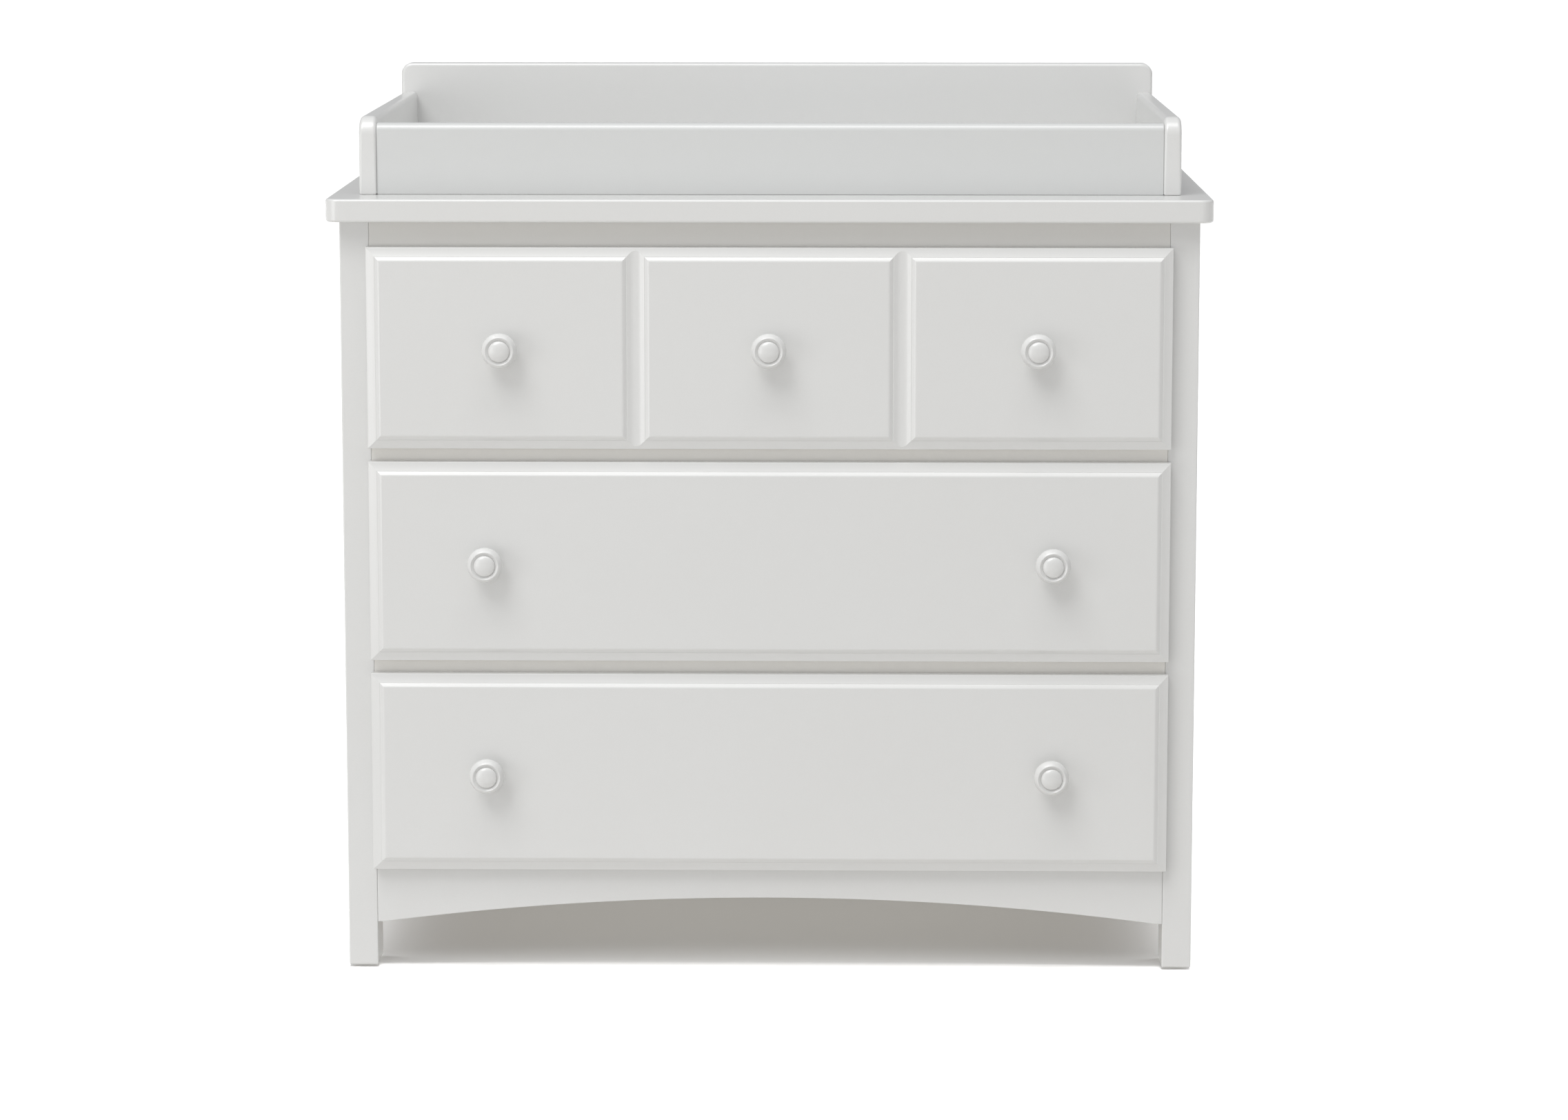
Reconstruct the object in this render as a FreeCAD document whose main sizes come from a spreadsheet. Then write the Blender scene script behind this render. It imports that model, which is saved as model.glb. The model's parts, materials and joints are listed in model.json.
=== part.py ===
import FreeCAD, Part
import math
import os
import re

import Sketcher

# A three-drawer nursery dresser with an open changing tray on its top.
# Millimetres. +X is the user's right, +Y points to the back, +Z is up.
# The origin is on the floor, in the middle of the whole object's width and depth.

DIMENSIONS = {
    # top slab
    "slab_width": 914.4,
    "slab_depth": 508.0,
    "slab_thick": 24.0,
    "slab_top": 815.0,
    "slab_corner": 14.0,
    "slab_round": 3.0,
    # case: posts, rails, panels
    "case_width": 888.0,
    "case_setback": 17.0,
    "case_rear_gap": 8.0,
    "post_width": 30.7,
    "post_depth": 47.0,
    "post_edge": 1.2,
    "foot_round": 2.5,
    "glide_thick": 2.0,
    "glide_radius": 13.0,
    "nail_radius": 1.2,
    "nail_length": 16.0,
    "rail_thick": 20.0,
    "top_rail_height": 32.0,
    "mid_rail_height": 30.0,
    "apron_low": 49.5,
    "apron_high": 125.0,
    "arch_rise": 27.0,
    "arch_end": 6.5,
    "side_rail_thick": 20.0,
    "side_rail_recess": 1.0,
    "side_rail_upper": 60.0,
    "side_rail_lower": 70.0,
    "panel_thick": 9.0,
    "panel_recess": 8.0,
    "back_thick": 3.0,
    "back_inset": 4.0,
    # drawers
    "drawer_low": 109.0,
    "drawer_pitch": 223.3,
    "drawer_height": 209.3,
    "drawer_width": 832.0,
    "front_thick": 17.0,
    "front_gap": 0.6,
    "band_width": 9.0,
    "band_drop": 2.8,
    "bead_width": 5.3,
    "bead_drop": 2.8,
    "divide_at": 137.5,
    "divide_width": 29.0,
    "divide_drop": 5.0,
    "divide_end": 3.0,
    "cut_over": 1.0,
    "box_wall": 12.0,
    "box_height": 145.0,
    "box_lift": 26.0,
    "box_depth": 455.0,
    "box_round": 2.0,
    "bottom_thick": 5.0,
    "bottom_lift": 10.0,
    "groove_deep": 5.0,
    "groove_play": 0.2,
    # drawer slides, one each side of a drawer
    "slide_gap": 12.7,
    "slide_length": 450.0,
    "slide_rise": 60.0,
    "slide_start": 2.0,
    "slide_screw_front": 20.0,
    "slide_screw_rear": 10.0,
    "sheet_thick": 1.2,
    "outer_half": 22.5,
    "outer_lip": 10.5,
    "middle_half": 18.5,
    "middle_web": 3.0,
    "middle_lip": 10.0,
    "inner_half": 13.5,
    "inner_lip": 5.5,
    # knobs
    "knob_radius": 18.3,
    "knob_reach": 27.0,
    "knob_bore": 2.0,
    "knob_bore_deep": 13.0,
    "knob_at_top": 277.0,
    "knob_at_low": 294.0,
    # changing tray
    "tray_setback": 56.0,
    "tray_width": 854.0,
    "tray_board": 18.0,
    "tray_side_height": 81.0,
    "tray_front_height": 74.4,
    "tray_front_inset": 2.5,
    "tray_back_width": 855.0,
    "tray_back_height": 114.0,
    "tray_back_corner": 13.0,
    "tray_back_round": 4.0,
    "tray_nose": 20.0,
    "tray_side_round": 5.5,
    "tray_front_round": 8.5,
    # plates that tie the tray to the slab, and the fasteners
    "plate_at": 250.0,
    "plate_width": 40.0,
    "plate_height": 64.0,
    "plate_thick": 2.0,
    "plate_corner": 4.0,
    "plate_hole_side": 12.0,
    "plate_hole_end": 9.0,
    "head_radius": 3.6,
    "head_thick": 1.4,
    "shank_radius": 1.9,
    "shank_length": 15.0,
    "screw_hole": 2.2,
    "knob_head_radius": 5.0,
    "knob_head_thick": 2.4,
    "knob_shank_radius": 1.95,
    "knob_shank_length": 28.0,
}

# Places that more than one sub-part is measured from, as formulas on the sheet's cells.
OVERALL = "(knob_reach + front_gap + slab_depth + plate_thick + head_thick)"
FRONT = f"(knob_reach + front_gap - {OVERALL} / 2)"
REAR = f"({FRONT} + slab_depth)"
CASE_FRONT = f"({FRONT} + case_setback)"
CASE_REAR = f"({REAR} - case_rear_gap)"
CASE_TOP = "(slab_top - slab_thick)"
INNER = "(case_width - 2 * post_width)"
SIDE_SPAN = f"({CASE_REAR} - {CASE_FRONT} - 2 * post_depth)"
BOX_FRONT = f"({CASE_FRONT} - front_gap)"
BOX_OUTER = f"({INNER} / 2 - slide_gap)"
BOX_INNER = f"({BOX_OUTER} - box_wall)"
SLIDE_REAR = f"({CASE_FRONT} + slide_start + slide_length)"
TRAY_FRONT = f"({FRONT} + tray_setback)"
TRAY_LENGTH = f"({REAR} - tray_board - {TRAY_FRONT})"
TRAY_INNER = "(tray_width / 2 - tray_board)"

LEVELS = ("bottom", "middle", "top")
SIDES = {"left": -1, "right": 1}

# A knob's outline from its foot to its crown: foot, neck, wide flare, thin ring, domed middle.
# Each pair is a share of the knob's radius and a share of its reach.
KNOB_TURNING = (
    (0.60, 0.0),
    (0.60, 0.055),
    (0.51, 0.13),
    (0.49, 0.22),
    (0.62, 0.29),
    (0.92, 0.43),
    (1.0, 0.54),
    (0.99, 0.65),
    (0.90, 0.75),
    (0.80, 0.81),
    (0.76, 0.88),
    (0.72, 0.88),
    (0.65, 0.84),
    (0.59, 0.83),
    (0.55, 0.89),
    (0.32, 0.98),
    (0.0, 1.0),
)

doc = FreeCAD.newDocument("changing_table")
nodes = {}


def make_sheet():
    """Puts every driving dimension in a cell of its own, with its name as the alias."""
    sheet = doc.addObject("Spreadsheet::Sheet", "dims")
    for row, (alias, value) in enumerate(DIMENSIONS.items(), start=1):
        sheet.set(f"A{row}", alias)
        sheet.set(f"B{row}", str(value))
        sheet.setAlias(f"B{row}", alias)
    doc.recompute()
    return sheet


def bound(formula):
    """The formula with each cell's name made into a reference to the sheet."""
    return re.sub(
        r"[a-z][a-z_]+",
        lambda m: f"dims.{m.group()}" if m.group() in DIMENSIONS else m.group(),
        formula,
    )


def place(item, x="0", y="0", z="0"):
    """Binds the object's position to formulas."""
    for axis, formula in zip("xyz", (x, y, z)):
        item.setExpression(f"Placement.Base.{axis}", bound(formula))
    return item


def keep(label, item):
    """Makes the object a node of the model, under its own label."""
    item.Label = label
    nodes[label] = item
    return item


def origin_plane(body, role):
    """One of the body's own origin planes: XY_Plane, XZ_Plane or YZ_Plane."""
    return next(f for f in body.Origin.OriginFeatures if f.Role == role)


def new_body(name):
    return doc.addObject("PartDesign::Body", name)


def new_sketch(body, name, plane):
    sketch = body.newObject("Sketcher::SketchObject", name)
    sketch.AttachmentSupport = [(origin_plane(body, plane), "")]
    sketch.MapMode = "FlatFace"
    return sketch


def pin_point(sketch, geometry, point, formulas):
    """Fixes one sketch point at two formulas, measured from the sketch's origin."""
    for kind, formula in zip(("DistanceX", "DistanceY"), formulas):
        index = sketch.addConstraint(
            Sketcher.Constraint(kind, -1, 1, geometry, point, 1.0)
        )
        sketch.setExpression(f"Constraints[{index}]", bound(formula))


def outline(body, name, plane, corners):
    """A closed sketch of straight lines through corners, each a pair of formulas."""
    sketch = new_sketch(body, name, plane)
    count = len(corners)
    turn = 2 * math.pi / count
    start = [
        FreeCAD.Vector(math.cos(i * turn), math.sin(i * turn), 0) for i in range(count)
    ]
    for i in range(count):
        sketch.addGeometry(Part.LineSegment(start[i], start[(i + 1) % count]), False)
    for i in range(count):
        sketch.addConstraint(
            Sketcher.Constraint("Coincident", i, 2, (i + 1) % count, 1)
        )
    for i, corner in enumerate(corners):
        pin_point(sketch, i, 1, corner)
    return sketch


def rectangle(body, name, plane, low, high):
    (x0, y0), (x1, y1) = low, high
    return outline(body, name, plane, [(x0, y0), (x1, y0), (x1, y1), (x0, y1)])


def circles(body, name, plane, centres, radius):
    """A sketch of equal circles, each centre a pair of formulas."""
    sketch = new_sketch(body, name, plane)
    for i, centre in enumerate(centres):
        start = FreeCAD.Vector(10.0 * i, 0, 0)
        sketch.addGeometry(Part.Circle(start, FreeCAD.Vector(0, 0, 1), 1.0), False)
        index = sketch.addConstraint(Sketcher.Constraint("Radius", i, 1.0))
        sketch.setExpression(f"Constraints[{index}]", bound(radius))
        pin_point(sketch, i, 3, centre)
    return sketch


def pad(body, sketch, length):
    feature = body.newObject("PartDesign::Pad", "Pad")
    feature.Profile = sketch
    feature.setExpression("Length", bound(length))
    return feature


def pocket(body, sketch, length):
    """Cuts the sketch to both sides of its plane, and makes sure that it did cut."""
    doc.recompute()
    before = body.Shape.Volume
    feature = body.newObject("PartDesign::Pocket", "Pocket")
    feature.Profile = sketch
    feature.SideType = "Symmetric"
    feature.setExpression("Length", bound(length))
    doc.recompute()
    if not body.Shape.Volume < before - 1e-3:
        raise RuntimeError(f"a pocket in {body.Name} cut nothing")
    return feature


def edges_at(shape, along=None, **sides):
    """Names of the edges that run along an axis and lie on the stated sides of the box."""
    box = shape.BoundBox
    ends = {
        "x": (box.XMin, box.XMax),
        "y": (box.YMin, box.YMax),
        "z": (box.ZMin, box.ZMax),
    }
    found = []
    for number, edge in enumerate(shape.Edges, start=1):
        span = edge.BoundBox
        lengths = {"x": span.XLength, "y": span.YLength, "z": span.ZLength}
        if along and lengths[along] < max(lengths.values()) - 1e-4:
            continue
        lows = {"x": span.XMin, "y": span.YMin, "z": span.ZMin}
        flat = all(
            lengths[axis] < 1e-4 and abs(lows[axis] - ends[axis][side == "high"]) < 1e-4
            for axis, side in sides.items()
        )
        if flat:
            found.append(f"Edge{number}")
    return found


def round_edges(body, radius, *choices):
    """Rounds the edges that each choice picks, a dictionary for edges_at."""
    doc.recompute()
    shape = body.Shape
    names = sorted({name for choice in choices for name in edges_at(shape, **choice)})
    base = body.Tip
    feature = body.newObject("PartDesign::Fillet", "Fillet")
    feature.Base = (base, names)
    feature.setExpression("Radius", bound(radius))
    body.Tip = feature
    return feature


def board(label, size, corner):
    """A rectangular board from its lowest corner, as a sketch padded upwards."""
    body = keep(label, new_body(label))
    across, deep, high = size
    pad(body, rectangle(body, "Outline", "XY_Plane", ("0", "0"), (across, deep)), high)
    return place(body, *corner)


def group(label, members):
    """Separate identical solids that share one node."""
    compound = doc.addObject("Part::Compound", label)
    compound.Links = members
    return keep(label, compound)


def cylinder(radius, height, direction, x, y, z):
    item = doc.addObject("Part::Cylinder", "Cylinder")
    item.setExpression("Radius", bound(radius))
    item.setExpression("Height", bound(height))
    item.Placement = FreeCAD.Placement(
        FreeCAD.Vector(), FreeCAD.Rotation(FreeCAD.Vector(0, 0, 1), direction)
    )
    return place(item, x, y, z)


def screw(head, shank, direction, at):
    """A pan-head screw whose head's underside is at the given place, pointing in direction."""
    head_radius, head_thick = head
    axis = max(range(3), key=lambda i: abs(direction[i]))
    back = list(at)
    sign = "-" if direction[axis] > 0 else "+"
    back[axis] = f"{at[axis]} {sign} {head_thick}"
    fuse = doc.addObject("Part::Fuse", "Screw")
    fuse.Base = cylinder(head_radius, head_thick, direction, *back)
    fuse.Tool = cylinder(*shank, direction, *at)
    return fuse


def wood_screw(direction, at):
    head = ("head_radius", "head_thick")
    return screw(head, ("shank_radius", "shank_length"), direction, at)


def make_slab():
    slab = board(
        "top_slab",
        ("slab_width", "slab_depth", "slab_thick"),
        ("-slab_width / 2", FRONT, CASE_TOP),
    )
    round_edges(slab, "slab_corner", {"along": "z"})
    round_edges(slab, "slab_round", {"z": "high"}, {"z": "low"})


def make_posts():
    ends = {"front": CASE_FRONT, "rear": f"{CASE_REAR} - post_depth"}
    lefts = {"left": "-case_width / 2", "right": "case_width / 2 - post_width"}
    for end, y in ends.items():
        for side, x in lefts.items():
            post = board(
                f"post_{end}_{side}",
                ("post_width", "post_depth", f"{CASE_TOP} - glide_thick"),
                (x, y, "glide_thick"),
            )
            round_edges(post, "post_edge", {"along": "z"})
            round_edges(post, "foot_round", {"z": "low"})


def make_apron():
    """The lowest front rail, whose underside rises in one shallow arc."""
    body = keep("apron", new_body("apron"))
    size = (("0", "0"), (INNER, "apron_high - apron_low"))
    pad(body, rectangle(body, "Outline", "XZ_Plane", *size), "rail_thick")
    half = f"({INNER} / 2 - arch_end)"
    radius = f"(({half} ^ 2 + arch_rise ^ 2) / (2 * arch_rise))"
    centre = (f"{INNER} / 2", f"arch_rise - {radius}")
    arch = circles(body, "Arch", "XZ_Plane", [centre], radius)
    pocket(body, arch, "3 * rail_thick")
    place(body, f"-{INNER} / 2", f"{CASE_FRONT} + rail_thick", "apron_low")


def make_rails():
    def rail(label, y, z, height):
        board(label, (INNER, "rail_thick", height), (f"-{INNER} / 2", y, z))

    rail("top_rail", CASE_FRONT, f"{CASE_TOP} - top_rail_height", "top_rail_height")
    for label, level in (("mid_rail_lower", 1), ("mid_rail_upper", 2)):
        centre = f"drawer_low + {level} * drawer_pitch - (drawer_pitch - drawer_height) / 2"
        rail(label, CASE_FRONT, f"{centre} - mid_rail_height / 2", "mid_rail_height")
    rear = f"{CASE_REAR} - rail_thick"
    upper = f"{CASE_TOP} - side_rail_upper"
    rail("rear_rail_top", rear, upper, "side_rail_upper")
    rail("rear_rail_bottom", rear, "apron_low", "side_rail_lower")


def make_side_frames():
    """Between the posts on each side: two rails, and a panel set in from their faces."""
    start = f"{CASE_FRONT} + post_depth"
    rail_low = "apron_low + side_rail_lower"
    rail_high = f"{CASE_TOP} - side_rail_upper"
    for side, sign in SIDES.items():
        pieces = {
            f"side_rail_bottom_{side}": ("side_rail", "apron_low", "side_rail_lower"),
            f"side_rail_top_{side}": ("side_rail", rail_high, "side_rail_upper"),
            f"side_panel_{side}": ("panel", rail_low, f"{rail_high} - ({rail_low})"),
        }
        for label, (kind, z, height) in pieces.items():
            x = f"-case_width / 2 + {kind}_recess"
            if sign > 0:
                x = f"case_width / 2 - {kind}_recess - {kind}_thick"
            board(label, (f"{kind}_thick", SIDE_SPAN, height), (x, start, z))


def make_back():
    width = "case_width - 2 * back_inset"
    height = f"{CASE_TOP} - apron_low - 2 * back_inset"
    corner = ("-case_width / 2 + back_inset", CASE_REAR, "apron_low + back_inset")
    board("back_panel", (width, "back_thick", height), corner)


def make_glides():
    up = FreeCAD.Vector(0, 0, 1)
    members = []
    for y in (f"{CASE_FRONT} + post_depth / 2", f"{CASE_REAR} - post_depth / 2"):
        for sign in SIDES.values():
            x = f"{sign} * (case_width - post_width) / 2"
            fuse = doc.addObject("Part::Fuse", "Glide")
            fuse.Base = cylinder("glide_radius", "glide_thick", up, x, y, "0")
            nail = ("nail_radius", "nail_length", up, x, y, "glide_thick")
            fuse.Tool = cylinder(*nail)
            members.append(fuse)
    group("glides", members)


def face_sketch(body, inset, depth):
    """The outline of a drawer front, set in by inset, on a plane at a depth from its rear."""
    low = (f"-drawer_width / 2 + {inset}", inset)
    high = (f"drawer_width / 2 - {inset}", f"drawer_height - {inset}")
    sketch = rectangle(body, "Outline", "XZ_Plane", low, high)
    sketch.setExpression("AttachmentOffset.Base.z", bound(depth))
    return sketch


def make_front(level, knobs):
    """A drawer front: a field raised on a bead and a wider band, with the knobs' holes."""
    body = keep(f"drawer_{level}_front", new_body(f"drawer_{level}_front"))
    edge = "(front_thick - bead_drop - band_drop)"
    quirk = "(front_thick - bead_drop)"
    pad(body, face_sketch(body, "0", "0"), edge)
    steps = (
        ("0", edge, "band_width", quirk),
        ("band_width", quirk, "(band_width + bead_width)", "front_thick"),
    )
    for wide, rear, narrow, front in steps:
        base = face_sketch(body, wide, rear)
        top = face_sketch(body, narrow, front)
        slope = body.newObject("PartDesign::AdditiveLoft", "Slope")
        slope.Profile = base
        slope.Sections = [top]
        slope.Ruled = True
    if level == "top":
        cut_divides(body)
    centres = [(x, "drawer_height / 2") for x in knobs]
    holes = circles(body, "Holes", "XZ_Plane", centres, "screw_hole")
    pocket(body, holes, "3 * front_thick")
    place(body, "0", BOX_FRONT, drawer_z(level))


def cut_divides(body):
    """Two upright V grooves that make the top front look like three panels."""
    shoulder = "-front_thick - cut_over"
    valley = "-front_thick + divide_drop"
    half = "divide_width / 2 * (1 + cut_over / divide_drop)"
    for sign in SIDES.values():
        middle = f"{sign} * divide_at"
        corners = [
            (f"{middle} - {half}", shoulder),
            (f"{middle} + {half}", shoulder),
            (middle, valley),
        ]
        sketch = outline(body, "Divide", "XY_Plane", corners)
        sketch.setExpression("AttachmentOffset.Base.z", bound("drawer_height / 2"))
        pocket(body, sketch, "drawer_height - 2 * divide_end")


def drawer_z(level):
    """The height of a drawer front's lower edge."""
    return f"(drawer_low + {LEVELS.index(level)} * drawer_pitch)"


def make_box(level):
    """The drawer's box: two grooved sides, a bottom held in the grooves, and a back on it."""
    low = f"({drawer_z(level)} + box_lift)"
    for side, sign in SIDES.items():
        label = f"drawer_{level}_side_{side}"
        x = f"-{BOX_OUTER}" if sign < 0 else BOX_INNER
        body = board(label, ("box_wall", "box_depth", "box_height"), (x, BOX_FRONT, low))
        round_edges(body, "box_round", {"along": "y", "z": "high"})
        open_side, groove_end = ("box_wall", "box_wall - groove_deep")
        if sign > 0:
            open_side, groove_end = ("0", "groove_deep")
        groove_low = (open_side, "bottom_lift - groove_play")
        groove_high = (groove_end, "bottom_lift + bottom_thick + groove_play")
        sketch = rectangle(body, "Groove", "XZ_Plane", groove_low, groove_high)
        pocket(body, sketch, "3 * box_depth")
    reach = f"({BOX_INNER} + groove_deep - groove_play)"
    board(
        f"drawer_{level}_bottom",
        (f"2 * {reach}", "box_depth", "bottom_thick"),
        (f"-{reach}", BOX_FRONT, f"{low} + bottom_lift"),
    )
    seat = "(bottom_lift + bottom_thick)"
    board(
        f"drawer_{level}_back",
        (f"2 * {BOX_INNER}", "box_wall", f"box_height - {seat}"),
        (f"-{BOX_INNER}", f"{BOX_FRONT} + box_depth - box_wall", f"{low} + {seat}"),
    )


def channel(web, toward, edge, half, holes, sign, level):
    """One slide member, folded from sheet: its web stands at one distance from the post's
    inner face, and its lips reach from there to another, the edge."""
    body = new_body("Channel")
    wall = f"({web} {toward} sheet_thick)"
    inner = f"({half} - sheet_thick)"
    profile = [
        (web, f"-{half}"),
        (edge, f"-{half}"),
        (edge, f"-{inner}"),
        (wall, f"-{inner}"),
        (wall, inner),
        (edge, inner),
        (edge, half),
        (web, half),
    ]
    corners = [(f"{-sign} * ({x})", z) for x, z in profile]
    pad(body, outline(body, "Section", "XZ_Plane", corners), "slide_length")
    if holes:
        sketch = circles(body, "Holes", "YZ_Plane", holes, "screw_hole")
        pocket(body, sketch, "4 * slide_gap")
    height = f"{drawer_z(level)} + box_lift + slide_rise"
    return place(body, f"{sign} * {INNER} / 2", SLIDE_REAR, height)


def make_slides(level):
    """Cabinet, intermediate and drawer members, a pair of each, nested with clearance."""
    holes = [("-slide_length + slide_screw_front", "0"), ("-slide_screw_rear", "0")]
    members = {
        f"slide_rails_{level}": ("0", "+", "outer_lip", "outer_half", holes),
        f"slide_carriers_{level}": ("middle_web", "+", "middle_lip", "middle_half", ()),
        f"drawer_{level}_runners": ("slide_gap", "-", "inner_lip", "inner_half", ()),
    }
    for label, section in members.items():
        group(label, [channel(*section, sign, level) for sign in SIDES.values()])


def make_slide_screws():
    """Two screws per cabinet member, through its web and into the posts."""
    members = []
    front = f"{SLIDE_REAR} - slide_length + slide_screw_front"
    rear = f"{SLIDE_REAR} - slide_screw_rear"
    for level in LEVELS:
        z = f"({drawer_z(level)} + box_lift + slide_rise)"
        for sign in SIDES.values():
            x = f"{sign} * ({INNER} / 2 - sheet_thick)"
            outward = FreeCAD.Vector(sign, 0, 0)
            members += [wood_screw(outward, (x, y, z)) for y in (front, rear)]
    group("slide_screws", members)


def make_knob(label, x, level):
    """A turned knob, drilled from behind for its screw."""
    body = keep(label, new_body(label))
    corners = [
        (f"{across} * knob_radius", f"-{reach} * knob_reach")
        for across, reach in KNOB_TURNING
    ]
    corners += [("0", "-knob_bore_deep"), ("knob_bore", "-knob_bore_deep"), ("knob_bore", "0")]
    sketch = outline(body, "Profile", "XY_Plane", corners)
    turned = body.newObject("PartDesign::Revolution", "Revolution")
    turned.Profile = sketch
    turned.ReferenceAxis = (sketch, ["V_Axis"])
    turned.Angle = 360
    z = f"{drawer_z(level)} + drawer_height / 2"
    place(body, x, f"{BOX_FRONT} - front_thick", z)


def make_knobs(level, knobs):
    for name, x in knobs.items():
        make_knob(f"knob_{level}_{name}", x, level)
    z = f"{drawer_z(level)} + drawer_height / 2"
    head = ("knob_head_radius", "knob_head_thick")
    shank = ("knob_shank_radius", "knob_shank_length")
    forward = FreeCAD.Vector(0, -1, 0)
    screws = [screw(head, shank, forward, (x, BOX_FRONT, z)) for x in knobs.values()]
    group(f"drawer_{level}_knob_screws", screws)


def make_drawers():
    for level in LEVELS:
        reach = "knob_at_top" if level == "top" else "knob_at_low"
        knobs = {"left": f"-{reach}", "right": reach}
        if level == "top":
            knobs["center"] = "0"
        make_front(level, list(knobs.values()))
        make_box(level)
        make_slides(level)
        make_knobs(level, knobs)


def make_tray():
    """The open tray: two sides, a lower front between them, and a taller back behind them."""
    for side, sign in SIDES.items():
        x = "-tray_width / 2" if sign < 0 else TRAY_INNER
        size = ("tray_board", TRAY_LENGTH, "tray_side_height")
        body = board(f"tray_side_{side}", size, (x, TRAY_FRONT, "slab_top"))
        round_edges(body, "tray_nose", {"along": "x", "y": "low", "z": "high"})
        face_edges = [{"x": end, "z": "high"} for end in ("low", "high")]
        face_edges += [{"x": end, "y": "low"} for end in ("low", "high")]
        round_edges(body, "tray_side_round", *face_edges)
    size = (f"2 * {TRAY_INNER}", "tray_board", "tray_front_height")
    corner = (f"-{TRAY_INNER}", f"{TRAY_FRONT} + tray_front_inset", "slab_top")
    front = board("tray_front", size, corner)
    round_edges(front, "tray_front_round", {"along": "x", "z": "high"})
    size = ("tray_back_width", "tray_board", "tray_back_height")
    corner = ("-tray_back_width / 2", f"{REAR} - tray_board", "slab_top")
    back = board("tray_back", size, corner)
    round_edges(back, "tray_back_corner", {"along": "y", "z": "high"})
    round_edges(back, "tray_back_round", {"along": "x", "z": "high"})


def make_plates():
    """Two steel plates screwed across the joint behind the tray and the slab."""
    plates = []
    screws = []
    forward = FreeCAD.Vector(0, -1, 0)
    low = "(slab_top - slab_thick / 2 - plate_hole_end)"
    for sign in SIDES.values():
        middle = f"{sign} * plate_at"
        body = new_body("Plate")
        size = (("-plate_width / 2", "0"), ("plate_width / 2", "plate_height"))
        pad(body, rectangle(body, "Outline", "XZ_Plane", *size), "plate_thick")
        round_edges(body, "plate_corner", {"along": "y"})
        reach = "(plate_width / 2 - plate_hole_side)"
        centres = [
            (f"{across} * {reach}", height)
            for across in (-1, 1)
            for height in ("plate_hole_end", "(plate_height - plate_hole_end)")
        ]
        holes = circles(body, "Holes", "XZ_Plane", centres, "screw_hole")
        pocket(body, holes, "4 * plate_thick")
        plates.append(place(body, middle, f"{REAR} + plate_thick", low))
        for x, z in centres:
            at = (f"({middle} + {x})", f"({REAR} + plate_thick)", f"{low} + {z}")
            screws.append(wood_screw(forward, at))
    group("tray_plates", plates)
    group("tray_screws", screws)


def check_and_export():
    """Stops on a failed object or an unsound shape, then writes one file per node."""
    doc.recompute()
    failed = [o.Label for o in doc.Objects if {"Invalid", "Error"} & set(o.State)]
    if failed:
        raise RuntimeError(f"failed objects: {failed}")
    for label, item in nodes.items():
        if item.Shape.isNull() or not item.Shape.isValid():
            raise RuntimeError(f"{label} has no valid shape")
    os.makedirs("parts", exist_ok=True)
    for label, item in nodes.items():
        item.Shape.exportStep(f"parts/{label}.step")
    print(f"{len(nodes)} nodes written")


make_sheet()
make_slab()
make_posts()
make_apron()
make_rails()
make_side_frames()
make_back()
make_glides()
make_drawers()
make_slide_screws()
make_tray()
make_plates()
check_and_export()
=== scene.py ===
import json
import math

import bmesh
import bpy
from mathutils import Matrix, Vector


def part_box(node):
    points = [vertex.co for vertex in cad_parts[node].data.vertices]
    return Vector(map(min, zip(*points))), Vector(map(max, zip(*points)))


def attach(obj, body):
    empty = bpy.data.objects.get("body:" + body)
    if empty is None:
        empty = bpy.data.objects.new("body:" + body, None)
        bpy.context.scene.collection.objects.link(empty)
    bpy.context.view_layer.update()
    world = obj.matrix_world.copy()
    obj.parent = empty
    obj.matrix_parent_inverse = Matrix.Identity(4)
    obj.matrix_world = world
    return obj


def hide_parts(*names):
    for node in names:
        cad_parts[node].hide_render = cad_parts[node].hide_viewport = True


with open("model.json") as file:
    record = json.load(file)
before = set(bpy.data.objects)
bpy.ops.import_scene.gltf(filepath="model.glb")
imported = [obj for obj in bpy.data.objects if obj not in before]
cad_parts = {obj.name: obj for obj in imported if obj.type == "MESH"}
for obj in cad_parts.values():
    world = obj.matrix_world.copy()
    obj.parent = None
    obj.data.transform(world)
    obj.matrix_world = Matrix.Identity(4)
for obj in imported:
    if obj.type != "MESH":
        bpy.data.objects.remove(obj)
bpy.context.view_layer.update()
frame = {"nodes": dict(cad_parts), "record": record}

# A white painted three-drawer changing table. Metres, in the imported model's own frame:
# +X to the right seen from the front, +Y to the back, +Z up, the floor at Z = 0.

MM = 0.001
LEVELS = ("bottom", "middle", "top")
SIDES = {"left": -1, "right": 1}
BODY_OF = {
    node: body
    for body, members in frame["record"]["behaviour"]["bodies"].items()
    for node in members
}


# ---------------------------------------------------------------- materials


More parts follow.
